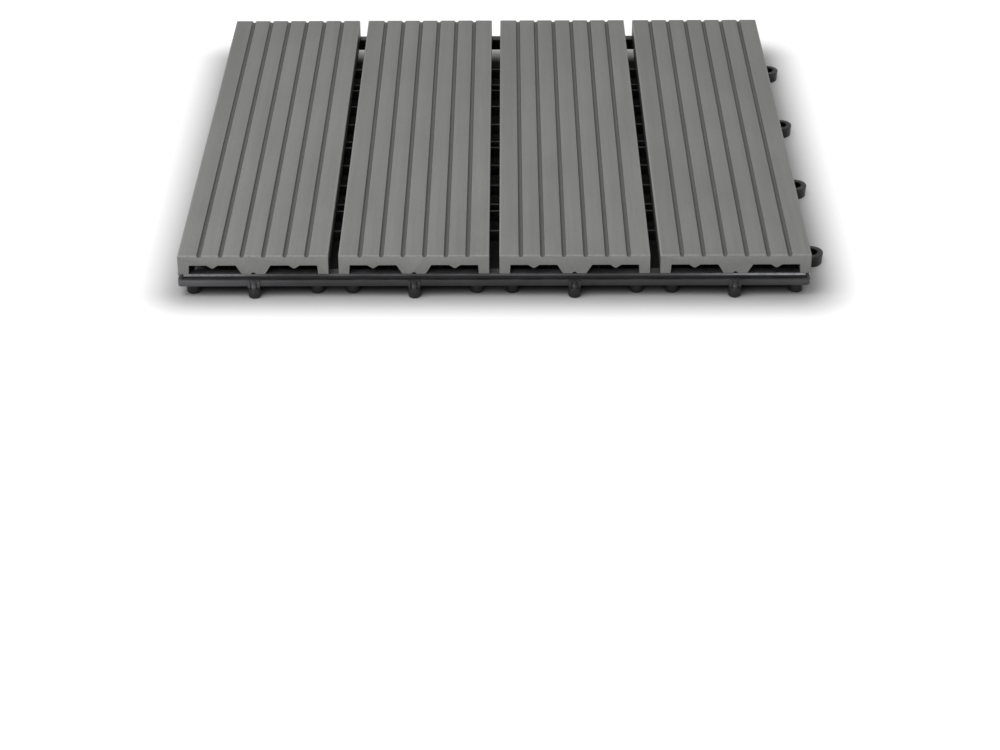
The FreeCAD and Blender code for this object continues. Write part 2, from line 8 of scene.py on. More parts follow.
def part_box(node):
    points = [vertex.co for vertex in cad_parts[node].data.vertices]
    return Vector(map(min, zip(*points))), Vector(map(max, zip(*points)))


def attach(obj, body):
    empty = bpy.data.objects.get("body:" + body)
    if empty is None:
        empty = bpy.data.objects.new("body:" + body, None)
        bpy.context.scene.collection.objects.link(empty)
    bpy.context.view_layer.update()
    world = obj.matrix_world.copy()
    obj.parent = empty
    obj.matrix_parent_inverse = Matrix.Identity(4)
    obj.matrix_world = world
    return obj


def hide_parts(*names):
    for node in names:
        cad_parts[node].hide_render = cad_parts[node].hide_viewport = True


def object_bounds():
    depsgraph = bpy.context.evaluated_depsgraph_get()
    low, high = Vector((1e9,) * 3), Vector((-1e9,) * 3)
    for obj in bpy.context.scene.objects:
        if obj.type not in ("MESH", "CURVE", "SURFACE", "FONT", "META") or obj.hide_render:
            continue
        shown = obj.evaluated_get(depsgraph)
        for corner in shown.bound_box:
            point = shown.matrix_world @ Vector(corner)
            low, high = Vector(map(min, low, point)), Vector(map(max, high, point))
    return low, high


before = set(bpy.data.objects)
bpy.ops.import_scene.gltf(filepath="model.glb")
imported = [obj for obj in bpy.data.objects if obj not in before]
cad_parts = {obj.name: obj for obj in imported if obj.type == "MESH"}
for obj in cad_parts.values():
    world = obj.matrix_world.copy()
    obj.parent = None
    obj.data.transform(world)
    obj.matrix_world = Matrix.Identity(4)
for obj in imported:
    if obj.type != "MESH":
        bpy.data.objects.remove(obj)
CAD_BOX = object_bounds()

# Interlocking deck tile: the looks of its grooved composite planks, moulded grid and screws.
# Everything is in metres in the tile's own frame, with +Z up and the planks along Y.

MM = 0.001
ROOT = "root"
PLANKS = sorted(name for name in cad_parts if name.startswith("plank_"))
GRID = "base_grid"
SCREWS = "screws"

# The photograph's frame, and the camera that it was taken with
PHOTO_WIDTH_PIXELS = 1000
FOCAL_LENGTH_PIXELS = 2450
SENSOR_WIDTH_MM = 36
CAMERA_DISTANCE = 1.362
CAMERA_ELEVATION = radians(29.72)
CAMERA_YAW = radians(-0.20)
CAMERA_ROLL = radians(-0.23)
# The lens points at the middle of the whole stack, of which this tile is the top one.
STACK_MIDDLE_BELOW_TREAD = 150.7 * MM
AIM_RIGHT_OF_PLANKS = 1.95 * MM

# Points this close are one, and faces this near one plane are one face
SAME_POINT = 0.002 * MM
FLAT_ANGLE = radians(0.5)

# Widths of the softened edges, and how far an edge turns to count as sharp
PLANK_EDGE = 0.22 * MM
GRID_EDGE = 0.18 * MM
SHARP_ANGLE = radians(40)

# Screw head and its cross recess
SCREW_HEAD_RADIUS = 3.6 * MM
SCREW_HEAD_HEIGHT = 2.1 * MM
SCREW_HEAD_RIM = 0.7 * MM
SCREW_HEAD_CHAMFER = 0.1 * MM
SCREW_CROWN_RADIUS = 2.6 * MM
SCREW_CROWN_STEPS = 6
RECESS_ARM_LENGTH = 2.0 * MM
RECESS_ARM_WIDTH = 1.0 * MM
RECESS_DEPTH = 1.2 * MM
RECESS_TAPER = 0.55
CUTTER_OVERSHOOT = 0.5 * MM
HEAD_EDGE = 0.06 * MM
HEAD_EDGE_ANGLE = radians(35)

# Screw shank and thread; the tip and the thread's foot are shares of the root radius
SCREW_SECTORS = 32
SCREW_ROOT_RADIUS = 1.3 * MM
SCREW_CREST_RADIUS = 1.75 * MM
SCREW_TIP_LENGTH = 2.2 * MM
SCREW_TIP_SHARE = 0.12
THREAD_PITCH = 1.2 * MM
THREAD_START = 0.3 * MM
THREAD_SHORTFALL = 0.4 * MM
THREAD_FOOT_SHARE = 0.96
THREAD_HALF_WIDTH = 0.42 * THREAD_PITCH
SCREW_CREASE_ANGLE = radians(38)

# How far each screw's cross is turned from those in the next row and the next column
ROW_TURN_DEGREES = 37
COLUMN_TURN_DEGREES = 61

# Colours
PLANK_GREY = (0.212, 0.212, 0.205)
GRID_BLACK = (0.017, 0.017, 0.018)
SCREW_GREY = (0.56, 0.56, 0.57)
WHITE = (1.0, 1.0, 1.0)

# Planks: depth of the grooves' brushed lips below the tread, widths of the painted edge highlights, and
# relief
LIP_DEPTH = 0.25 * MM
LIP_WANDER = 0.3 * MM
LONG_EDGE_WIDTH = 1.1 * MM
SAWN_EDGE_WIDTH = 0.9 * MM
PLANK_RELIEF = 0.035 * MM
# A face is a sawn end where its normal runs along Y by at least this much.
SAWN_FACING = 0.9
# For each metre between two planks, their grain is taken this many metres further apart.
GRAIN_SHIFT = 7.0

# Sizes of the features in the planks' grain across, along and up
CRUMB_SIZE = (0.5 * MM, 0.5 * MM, 0.5 * MM)
CHIP_SIZE = (1.6 * MM, 2.4 * MM, 1.6 * MM)
STREAK_SIZE = (0.45 * MM, 26 * MM, 1.0 * MM)
BAND_SIZE = (3.2 * MM, 150 * MM, 3.2 * MM)
BLOTCH_SIZE = (38 * MM, 70 * MM, 38 * MM)
FIBRE_SIZE = (0.5 * MM, 2.6 * MM, 0.5 * MM)
SKIN_LINE_SIZE = (0.3 * MM, 60 * MM, 0.3 * MM)
SAW_LINE_SIZE = (0.35 * MM, 1.0 * MM, 7.0 * MM)

# Tone of the painted highlight on a plank's long edges, and roughness of its extruded skin and its sawn
# ends
LONG_EDGE_HIGHLIGHT_TONE = 1.14
SKIN_ROUGHNESS = 0.46
SAWN_ROUGHNESS = 0.8

# The grid's border, below the planks' feet
BORDER_HEIGHT = 6.2 * MM
BAND_DEPTH = 3.1 * MM
FLANGE_REACH = 0.4 * MM
FLANGE_THICKNESS = 1.0 * MM

# Where the grid's rim is scuffed and painted with a highlight, measured inward; the heights over which
# the front band's paler ends fade in and out; and the height over which the plastic turns darker below
# the border
SCUFF_AND_HIGHLIGHT_INNER = 1.3 * MM
SCUFF_AND_HIGHLIGHT_OUTER = 0.3 * MM
PALE_BAND_REACH = 2 * MM
PALE_BAND_FOOT = (-BORDER_HEIGHT - 0.3 * MM, -BORDER_HEIGHT + 0.1 * MM)
PALE_BAND_HEAD = (-BAND_DEPTH - 0.2 * MM, -BAND_DEPTH + 0.4 * MM)
LOWER_SHADE_FADE = 1 * MM

# How much scuffing, the band's paler ends and dusting lighten the grid, and how dark it stays below its
# border
# Painted light among these: a highlight with the scuffing, top light with the dusting, shade below the
# border
SCUFF_AND_HIGHLIGHT_TONE = 7.2
PALE_BAND_TONE = 3.9
DUST_AND_TOP_LIGHT_TONE = 1.9
DUST_ROUGHNESS = 0.12
LOWER_SHADE_TONE = 0.62

# Sizes of the features in the grid's plastic, and in the screws' plating, along X, Y and Z
CLOUD_SIZE = (26 * MM, 26 * MM, 26 * MM)
MOTTLE_SIZE = (6 * MM, 6 * MM, 6 * MM)
SKIN_SIZE = (0.35 * MM, 0.35 * MM, 0.35 * MM)
FLOW_SIZE = (9 * MM, 9 * MM, 2.0 * MM)
DUST_SIZE = (14 * MM, 14 * MM, 14 * MM)
WORN_PATCH_SIZE = (34 * MM, 34 * MM, 34 * MM)
SCRATCH_SIZE = (1.6 * MM, 1.6 * MM, 0.5 * MM)
DULL_PATCH_SIZE = (1.6 * MM, 1.6 * MM, 1.6 * MM)
TURNING_MARK_SIZE = (0.9 * MM, 0.9 * MM, 0.08 * MM)

# Relief of the plastic's skin and flow lines, and of the screws' turning marks
SKIN_RELIEF = 0.008 * MM
FLOW_RELIEF = 0.02 * MM
TURNING_RELIEF = 0.006 * MM

# Floor: its paint, its painted shade round the tile, the share left under the tile as painted shadow, and
# the glow
FLOOR_HALF_SIDE = 6.0
FLOOR_ALBEDO = 0.60
FLOOR_SHADE = 0.42
COVERED_SHADE = 0.15
FLOOR_GLOW = 0.58

# Painted shade on the floor: how far inside the planks' outline it starts, how wide its paint fades,
# how far out the glow is full, and how wide the fade is just inside the outline
SHADE_INSET = 6 * MM
SHADE_WIDTH = 20 * MM
SHADOW_REACH = 38 * MM
COVER_WIDTH = 11 * MM

# Studio light: each lamp's name, direction from the tile, distance, side and power
AMBIENT = 0.58
LAMPS = (
    ("key", (-0.50, -0.55, 0.85), 1.05, 0.8, 5.6),
    ("front", (-0.30, -1.0, 0.35), 1.8, 1.0, 4.4),
    ("rim", (-0.4, 1.0, 0.6), 1.8, 0.8, 0.6),
)


# Node helpers


def add_node(tree, kind, inputs=None, **settings):
    """Adds a shader node; an input is a plain value or another node's output."""
    node = tree.nodes.new(kind)
    for key, value in settings.items():
        setattr(node, key, value)
    for key, value in (inputs or {}).items():
        if isinstance(value, bpy.types.NodeSocket):
            tree.links.new(value, node.inputs[key])
        else:
            node.inputs[key].default_value = value
    return node


def calculate(tree, operation, first, second=0.0):
    """One step of arithmetic on numbers."""
    return add_node(tree, "ShaderNodeMath", {0: first, 1: second}, operation=operation).outputs[0]


def total(tree, *terms):
    """The sum of several numbers."""
    result = terms[0]
    for term in terms[1:]:
        result = calculate(tree, "ADD", result, term)
    return result


def product(tree, *factors):
    """Several numbers multiplied."""
    result = factors[0]
    for factor in factors[1:]:
        result = calculate(tree, "MULTIPLY", result, factor)
    return result


def vector(tree, operation, first, second):
    """One step of arithmetic on vectors."""
    return add_node(tree, "ShaderNodeVectorMath", {0: first, 1: second}, operation=operation).outputs[0]


def parts(tree, source):
    """The X, Y and Z outputs of a vector."""
    return add_node(tree, "ShaderNodeSeparateXYZ", {0: source}).outputs


def ramp(tree, factor, low, high, low_value=0.0, high_value=1.0):
    """Carries a factor from one range to another, held at both ends.

    Noise wanders about 0.5, and a tone of 1 leaves a colour as it is.
    """
    inputs = {"Value": factor, 1: low, 2: high, 3: low_value, 4: high_value}
    return add_node(tree, "ShaderNodeMapRange", inputs, interpolation_type="SMOOTHSTEP").outputs[0]


def grain(tree, point, size, detail=2.0, roughness=0.5, distortion=0.0):
    """Noise whose features measure about size (x, y, z) in metres."""
    inputs = {
        "Vector": vector(tree, "MULTIPLY", point, tuple(1 / length for length in size)),
        "Scale": 1.0,
        "Detail": detail,
        "Roughness": roughness,
        "Distortion": distortion,
    }
    return add_node(tree, "ShaderNodeTexNoise", inputs).outputs[0]


def mix_tone(tree, factor, first, second):
    """Blends two numbers."""
    inputs = {"Factor": factor, 2: first, 3: second}
    return add_node(tree, "ShaderNodeMix", inputs, data_type="FLOAT").outputs[0]


def tint(tree, colour, tone):
    """A colour made lighter or darker by a number."""
    scaled = add_node(tree, "ShaderNodeVectorMath", {0: colour, "Scale": tone}, operation="SCALE")
    return scaled.outputs[0]


def bump(tree, height, depth, normal=None):
    """Relief whose full height measures depth in metres."""
    inputs = {"Height": height, "Distance": depth, "Strength": 1.0}
    if normal is not None:
        inputs["Normal"] = normal
    return add_node(tree, "ShaderNodeBump", inputs).outputs[0]


def new_material(name, **settings):
    """A material and its tree; the settings are plain values of the shader's sockets."""
    material = bpy.data.materials.new(name)
    material.use_nodes = True
    shader = material.node_tree.nodes["Principled BSDF"]
    for key, value in settings.items():
        shader.inputs[key.replace("_", " ")].default_value = value
    return material, material.node_tree, shader


def set_inputs(tree, shader, **sources):
    """Links other nodes' outputs to the shader's sockets."""
    for key, source in sources.items():
        tree.links.new(source, shader.inputs[key.replace("_", " ")])


# Materials


def plank_zones(tree, point, wander):
    """How far each finish covers a plank, brushed tread and sawn ends, and how far the painted highlights
    reach on its long edges, and the pale chips and painted highlight on its sawn edges.
    """
    low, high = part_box(PLANKS[0])
    half_width, half_length, top = (high - low) / 2
    x, y, z = parts(tree, point)
    ragged = total(tree, z, product(tree, wander, LIP_WANDER), -LIP_WANDER / 2)
    brushed = ramp(tree, ragged, top - LIP_DEPTH, top - LIP_DEPTH / 4)
    facing = parts(tree, add_node(tree, "ShaderNodeNewGeometry").outputs["True Normal"])
    sawn = calculate(tree, "GREATER_THAN", calculate(tree, "ABSOLUTE", facing[1]), SAWN_FACING)
    side = calculate(tree, "ABSOLUTE", x)
    end = calculate(tree, "ABSOLUTE", y)
    outer = ramp(tree, side, half_width - LONG_EDGE_WIDTH, half_width - LONG_EDGE_WIDTH / 3)
    upper = ramp(tree, z, top - 2 * LONG_EDGE_WIDTH, top - LONG_EDGE_WIDTH / 2)
    last = ramp(tree, end, half_length - SAWN_EDGE_WIDTH, half_length - SAWN_EDGE_WIDTH / 3)
    crown = ramp(tree, z, top - SAWN_EDGE_WIDTH, top - SAWN_EDGE_WIDTH / 3)
    return brushed, sawn, product(tree, outer, upper), product(tree, last, crown)


def plank_composite():
    """Grey wood and plastic composite: brushed on the tread, sawn at the ends, as extruded elsewhere;
    painted shade in the grooves and painted highlights on the edges.
    """
    material, tree, shader = new_material("plank_composite", Specular_IOR_Level=0.35)
    point = add_node(tree, "ShaderNodeTexCoord").outputs["Object"]
    place = add_node(tree, "ShaderNodeObjectInfo").outputs["Location"]
    # Each plank takes its grain from another place.
    shift = vector(tree, "MULTIPLY", place, (GRAIN_SHIFT, GRAIN_SHIFT, GRAIN_SHIFT))
    own_point = vector(tree, "ADD", point, shift)
    crumbs = grain(tree, own_point, CRUMB_SIZE, detail=3.0, roughness=0.6)
    chips = grain(tree, own_point, CHIP_SIZE, detail=3.0, roughness=0.6)
    brushed, sawn, long_edge_highlight, sawn_edge_chips_and_highlight = plank_zones(tree, point, chips)

    # Tone of the brushed tread
    streaks = grain(tree, own_point, STREAK_SIZE, detail=3.0, roughness=0.6)
    bands = grain(tree, own_point, BAND_SIZE)
    blotches = grain(tree, own_point, BLOTCH_SIZE)
    fibres = grain(tree, own_point, FIBRE_SIZE, distortion=0.4)
    dark_fibres = ramp(tree, fibres, 0.36, 0.27)
    brushed_tone = total(
        tree,
        ramp(tree, streaks, 0.2, 0.8, 0.86, 1.0),
        ramp(tree, bands, 0.3, 0.7, -0.03, 0.03),
        ramp(tree, blotches, 0.3, 0.7, -0.04, 0.04),
        ramp(tree, fibres, 0.66, 0.76, 0.0, 0.14),
        product(tree, dark_fibres, -0.16),
    )

    # Tone of the extruded skin in the grooves, on the sides and below; darker than the tread, partly the
    # skin's own colour and partly painted shade in the grooves
    skin_lines = grain(tree, own_point, SKIN_LINE_SIZE)
    skin_and_groove_shade_tone = total(
        tree,
        ramp(tree, skin_lines, 0.25, 0.75, 0.38, 0.48),
        ramp(tree, chips, 0.60, 0.72, 0.0, 0.16),
    )

    # Tone of the sawn ends
    saw_lines = grain(tree, own_point, SAW_LINE_SIZE, detail=3.0, roughness=0.65)
    sawn_tone = total(
        tree,
        ramp(tree, saw_lines, 0.3, 0.7, 0.90, 1.02),
        ramp(tree, crumbs, 0.62, 0.74, 0.0, 0.22),
        ramp(tree, crumbs, 0.38, 0.28, 0.0, -0.20),
    )

    # Each finish, and each painted edge highlight, lies over those before it.
    tone = mix_tone(tree, brushed, skin_and_groove_shade_tone, brushed_tone)
    # The long edges' tops carry a painted highlight; the sawn ends' upper rims carry pale chips and a
    # painted highlight.
    tone = mix_tone(tree, long_edge_highlight, tone, LONG_EDGE_HIGHLIGHT_TONE)
    tone = mix_tone(tree, sawn, tone, sawn_tone)
    tone = mix_tone(tree, sawn_edge_chips_and_highlight, tone, ramp(tree, chips, 0.35, 0.65, 1.06, 1.28))
    roughness = mix_tone(tree, brushed, SKIN_ROUGHNESS, ramp(tree, streaks, 0.3, 0.7, 0.52, 0.68))
    roughness = mix_tone(tree, sawn, roughness, SAWN_ROUGHNESS)
    relief = mix_tone(tree, brushed, skin_lines, total(tree, streaks, dark_fibres))
    relief = mix_tone(tree, sawn, relief, total(tree, saw_lines, crumbs))
    set_inputs(
        tree,
        shader,
        Base_Color=tint(tree, PLANK_GREY, tone),
        Roughness=roughness,
        Normal=bump(tree, relief, PLANK_RELIEF),
    )
    return material


def planks_outline():
    """The middle of the planks' outline at their feet, and half its sides."""
    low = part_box(PLANKS[0])[0]
    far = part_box(PLANKS[-1])[1]
    middle = (low + far) / 2
    return Vector((middle.x, middle.y, low.z)), (far - low) / 2


def rim_wear_highlight_and_pale_ends(tree, point):
    """How much paler the grid is: scuffing and a painted highlight along the flange's edge, and paler
    ends of the front band.
    """
    middle, sides = planks_outline()
    half = sides.x + FLANGE_REACH
    x, y, z = parts(tree, vector(tree, "SUBTRACT", point, tuple(middle)))
    across = calculate(tree, "ABSOLUTE", x)
    along = calculate(tree, "ABSOLUTE", y)
    reach = calculate(tree, "MAXIMUM", across, along)
    nearer_corner = calculate(tree, "MINIMUM", across, along)
    rim = product(
        tree,
        ramp(tree, reach, half - SCUFF_AND_HIGHLIGHT_INNER, half - SCUFF_AND_HIGHLIGHT_OUTER),
        ramp(tree, z, -1.1 * FLANGE_THICKNESS, -0.6 * FLANGE_THICKNESS),
    )
    patches = grain(tree, point, WORN_PATCH_SIZE)
    scratches = grain(tree, point, SCRATCH_SIZE, detail=4.0, roughness=0.7)
    # The rim's wear and painted highlight lie in patches, at its corners and on the right, and most at
    # the front.
    wear_and_highlight = total(
        tree,
        ramp(tree, patches, 0.42, 0.62, 0.10, 0.55),
        ramp(tree, nearer_corner, 0.62 * half, 0.96 * half, 0.0, 1.3),
        ramp(tree, x, 0.5 * half, 0.8 * half, 0.0, 1.2),
    )
    scuffs_and_highlight = product(
        tree,
        rim,
        wear_and_highlight,
        ramp(tree, scratches, 0.3, 0.62, 0.45, 1.0),
        ramp(tree, y, -0.9 * half, 0.5 * half, 1.0, 0.35),
    )
    # The front band is paler towards both ends, and mostly on the left.
    ends = total(
        tree,
        ramp(tree, x, -half, -0.5 * half, 1.0, 0.0),
        ramp(tree, x, 0.6 * half, half, 0.0, 0.45),
    )
    band = product(
        tree,
        ramp(tree, y, -half + PALE_BAND_REACH, -half + PALE_BAND_REACH / 2),
        ramp(tree, z, *PALE_BAND_FOOT),
        ramp(tree, z, *PALE_BAND_HEAD, 1.0, 0.0),
    )
    pale_band_ends = product(tree, band, ends, ramp(tree, patches, 0.3, 0.7, 0.7, 1.1))
    return total(tree, product(tree, scuffs_and_highlight, SCUFF_AND_HIGHLIGHT_TONE), product(tree, pale_band_ends, PALE_BAND_TONE))


def grid_plastic():
    """Black moulded plastic with a satin skin, finely mottled, scuffed at its rim and a little dusty,
    with a painted highlight on the rim, painted light on its upward faces and painted shade below its
    border.
    """
    material, tree, shader = new_material("grid_plastic", Specular_IOR_Level=0.4)
    point = add_node(tree, "ShaderNodeTexCoord").outputs["Object"]
    facing = parts(tree, add_node(tree, "ShaderNodeNewGeometry").outputs["Normal"])
    clouds = grain(tree, point, CLOUD_SIZE)
    mottle = grain(tree, point, MOTTLE_SIZE, detail=4.0, roughness=0.6)
    skin = grain(tree, point, SKIN_SIZE)
    flow = grain(tree, point, FLOW_SIZE, distortion=1.5)
    dust_patches = grain(tree, point, DUST_SIZE, detail=5.0, roughness=0.7)
    # Dusting settles on what faces up, and these faces are also painted lighter as if lit from above.
    upward = ramp(tree, facing[2], 0.6, 0.95)
    dust_and_top_light = product(tree, upward, ramp(tree, dust_patches, 0.35, 0.7, 0.25, 1.0))
    tone = total(
        tree,
        ramp(tree, mottle, 0.3, 0.7, 0.85, 1.1),
        ramp(tree, flow, 0.3, 0.7, -0.06, 0.06),
        ramp(tree, clouds, 0.35, 0.65, -0.15, 0.35),
        product(tree, dust_and_top_light, DUST_AND_TOP_LIGHT_TONE),
        rim_wear_highlight_and_pale_ends(tree, point),
    )
    # Pegs, feet and loops hang below the border; they are darker, partly painted shade and partly plastic
    # that has kept a deeper black.
    border_foot = planks_outline()[0].z - BORDER_HEIGHT
    height = parts(tree, point)[2]
    depth = ramp(tree, height, border_foot - LOWER_SHADE_FADE, border_foot, LOWER_SHADE_TONE, 1.0)
    tone = product(tree, tone, depth)
    roughness = total(
        tree,
        ramp(tree, mottle, 0.3, 0.7, 0.32, 0.44),
        ramp(tree, clouds, 0.35, 0.65, 0.03, -0.05),
        product(tree, dust_and_top_light, DUST_ROUGHNESS),
    )
    set_inputs(
        tree,
        shader,
        Base_Color=tint(tree, GRID_BLACK, tone),
        Roughness=roughness,
        Normal=bump(tree, skin, SKIN_RELIEF, bump(tree, flow, FLOW_RELIEF)),
    )
    return material


def screw_steel():
    """Zinc-plated steel: bright, with faint turning marks and dull patches."""
    material, tree, shader = new_material("screw_steel", Metallic=1.0)
    point = add_node(tree, "ShaderNodeTexCoord").outputs["Object"]
    patches = grain(tree, point, DULL_PATCH_SIZE, detail=4.0, roughness=0.6)
    marks = grain(tree, point, TURNING_MARK_SIZE)
    colour = tint(tree, SCREW_GREY, ramp(tree, patches, 0.3, 0.7, 0.82, 1.08))
    set_inputs(
        tree,
        shader,
        Base_Color=colour,
        Roughness=ramp(tree, patches, 0.3, 0.7, 0.24, 0.42),
        Normal=bump(tree, marks, TURNING_RELIEF),
    )
    return material


# Pieces


def finish_piece(piece, material, node):
    """Gives a piece its material and lets it stand for a node."""
    piece.data.materials.clear()
    piece.data.materials.append(material)
    bpy.context.scene.collection.objects.link(piece)
    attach(piece, ROOT)
    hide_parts(node)


def mark_roomy_edges(shape, width):
    """Marks the sharp edges whose faces leave room to round them, and keeps the others crisp."""
    marks = shape.edges.layers.float.new("bevel_weight_edge")
    for edge in shape.edges:
        if edge.calc_face_angle() < SHARP_ANGLE:
            continue
        start, end = (vertex.co for vertex in edge.verts)
        line = (end - start).normalized()
        reaches = []
        for face in edge.link_faces:
            reaches.append(max((vertex.co - start).cross(line).length for vertex in face.verts))
        if min(reaches) > 2 * width:
            edge[marks] = 1.0
        else:
            edge.smooth = False


def soften_edges(piece, width, limit):
    """Rounds the sharp or the marked edges a little."""
    bevel = piece.modifiers.new("soft_edges", "BEVEL")
    bevel.width = width
    bevel.segments = 2
    bevel.limit_method = limit
    bevel.angle_limit = SHARP_ANGLE
    bevel.use_clamp_overlap = False
    bevel.harden_normals = True


def keep_in_box(piece, low, high):
    """Applies the piece's modifiers and moves any point that they pushed out of its box back in."""
    bpy.context.scene.collection.objects.link(piece)
    graph = bpy.context.evaluated_depsgraph_get()
    mesh = bpy.data.meshes.new_from_object(piece.evaluated_get(graph), depsgraph=graph)
    bpy.context.scene.collection.objects.unlink(piece)
    for vertex in mesh.vertices:
        vertex.co = [min(max(place, least), most) for place, least, most in zip(vertex.co, low, high)]
    mesh.name = piece.name
    piece.modifiers.clear()
    piece.data = mesh


def dressed_copy(node, name, edge_width, centred, pierced=False):
    """A copy of a node's form with softened edges.

    A centred copy has its origin in its middle. A pierced form is one whose faces have holes.
    """
    shape = bmesh.new()
    shape.from_mesh(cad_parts[node].data)
    bmesh.ops.remove_doubles(shape, verts=shape.verts, dist=SAME_POINT)
    bmesh.ops.dissolve_limit(shape, angle_limit=FLAT_ANGLE, verts=shape.verts, edges=shape.edges)
    if pierced:
        mark_roomy_edges(shape, edge_width)
        # Softened edges would close the holes of a many-sided face, but not those between triangles.
        bmesh.ops.triangulate(shape, faces=[face for face in shape.faces if len(face.verts) > 4])
    low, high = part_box(node)
    middle = (low + high) / 2 if centred else Vector((0, 0, 0))
    bmesh.ops.translate(shape, verts=shape.verts, vec=-middle)
    for face in shape.faces:
        face.smooth = True
    mesh = bpy.data.meshes.new(name)
    shape.to_mesh(mesh)
    shape.free()
    piece = bpy.data.objects.new(name, mesh)
    piece.location = middle
    soften_edges(piece, edge_width, "WEIGHT" if pierced else "ANGLE")
    keep_in_box(piece, low - middle, high - middle)
    return piece


def ring(shape, radius, z):
    """A circle of vertices round the Z axis."""
    angles = [2 * pi * number / SCREW_SECTORS for number in range(SCREW_SECTORS)]
    return [shape.verts.new((radius * cos(angle), radius * sin(angle), z)) for angle in angles]


def join_rings(shape, first, second):
    """Closes the wall between two loops of as many vertices each."""
    for number in range(len(first)):
        after = (number + 1) % len(first)
        shape.faces.new((first[number], first[after], second[after], second[number]))


def screw_head():
    """A pan head with its crown down and its seat on Z = 0, before its recess is cut."""
    shape = bmesh.new()
    dome_height = SCREW_HEAD_HEIGHT - SCREW_HEAD_RIM
    profile = [
        (SCREW_ROOT_RADIUS, 0),
        (SCREW_HEAD_RADIUS - SCREW_HEAD_CHAMFER, 0),
        (SCREW_HEAD_RADIUS, -SCREW_HEAD_CHAMFER),
    ]
    for step in range(SCREW_CROWN_STEPS + 1):
        angle = pi / 2 * step / SCREW_CROWN_STEPS
        radius = SCREW_CROWN_RADIUS + (SCREW_HEAD_RADIUS - SCREW_CROWN_RADIUS) * cos(angle)
        profile.append((radius, -SCREW_HEAD_RIM - dome_height * sin(angle)))
    rings = [ring(shape, radius, z) for radius, z in profile]
    for first, second in zip(rings, rings[1:]):
        join_rings(shape, second, first)
    shape.faces.new(rings[0])
    shape.faces.new(reversed(rings[-1]))
    mesh = bpy.data.meshes.new("screw_head")
    shape.to_mesh(mesh)
    shape.free()
    return mesh


def recess_cutter():
    """The solid that leaves the cross recess: two crossed arms that narrow as they go in."""
    shape = bmesh.new()
    half_width = RECESS_ARM_WIDTH / 2
    mouth = (-SCREW_HEAD_HEIGHT - CUTTER_OVERSHOOT, 1.0)
    bottom = (-SCREW_HEAD_HEIGHT + RECESS_DEPTH, RECESS_TAPER)
    for quarter in (0, 1):
        turn = Matrix.Rotation(quarter * pi / 2, 4, "Z")
        corners = []
        for z, scale in (mouth, bottom):
            reach = RECESS_ARM_LENGTH * scale
            side = half_width * (1 + scale) / 2
            level = [(-reach, -side, z), (reach, -side, z), (reach, side, z), (-reach, side, z)]
            corners.append([shape.verts.new(turn @ Vector(corner)) for corner in level])
        lower, upper = corners
        join_rings(shape, lower, upper)
        shape.faces.new(upper)
        shape.faces.new(reversed(lower))
    mesh = bpy.data.meshes.new("recess_cutter")
    shape.to_mesh(mesh)
    shape.free()
    return mesh


def recessed_head():
    """The head's mesh with its recess cut."""
    head = bpy.data.objects.new("screw_head", screw_head())
    cutter = bpy.data.objects.new("recess_cutter", recess_cutter())
    for helper in (head, cutter):
        bpy.context.scene.collection.objects.link(helper)
    cut = head.modifiers.new("recess", "BOOLEAN")
    cut.operation = "DIFFERENCE"
    cut.solver = "EXACT"
    cut.use_self = True
    cut.object = cutter
    rounding = head.modifiers.new("rounding", "BEVEL")
    rounding.width = HEAD_EDGE
    rounding.segments = 2
    rounding.angle_limit = HEAD_EDGE_ANGLE
    graph = bpy.context.evaluated_depsgraph_get()
    mesh = bpy.data.meshes.new_from_object(head.evaluated_get(graph))
    for helper in (head, cutter):
        bpy.data.objects.remove(helper)
    return mesh


def add_threaded_shank(shape, length):
    """A shank with a helical ridge, which runs out at the tip."""
    turns = (length - THREAD_SHORTFALL) / THREAD_PITCH
    steps = int(turns * SCREW_SECTORS)
    shaft_end = length - SCREW_TIP_LENGTH

    def slim(z):
        """How much of its full radius the screw keeps at a height."""
        if z < shaft_end:
            return 1.0
        narrowing = (1 - SCREW_TIP_SHARE) * (z - shaft_end) / SCREW_TIP_LENGTH
        return max(SCREW_TIP_SHARE, 1 - narrowing)

    heights = [0, shaft_end, length]
    rings = [ring(shape, SCREW_ROOT_RADIUS * slim(z), z) for z in heights]
    for first, second in zip(rings, rings[1:]):
        join_rings(shape, first, second)
    shape.faces.new(rings[-1])
    shape.faces.new(reversed(rings[0]))
    sections = []
    for step in range(steps + 1):
        angle = 2 * pi * step / SCREW_SECTORS
        middle = THREAD_START + THREAD_PITCH * step / SCREW_SECTORS
        keep = slim(middle)
        # The ridge rises over its first turn.
        grown = min(1.0, step / SCREW_SECTORS)
        crest = SCREW_ROOT_RADIUS * keep + (SCREW_CREST_RADIUS - SCREW_ROOT_RADIUS) * keep * grown
        foot = SCREW_ROOT_RADIUS * keep * THREAD_FOOT_SHARE
        half = THREAD_HALF_WIDTH * keep
        section = []
        for radius, z in ((foot, middle - half), (crest, middle), (foot, middle + half)):
            section.append(shape.verts.new((radius * cos(angle), radius * sin(angle), z)))
        sections.append(section)
    for first, second in zip(sections, sections[1:]):
        join_rings(shape, second, first)
    shape.faces.new(sections[0])
    shape.faces.new(reversed(sections[-1]))


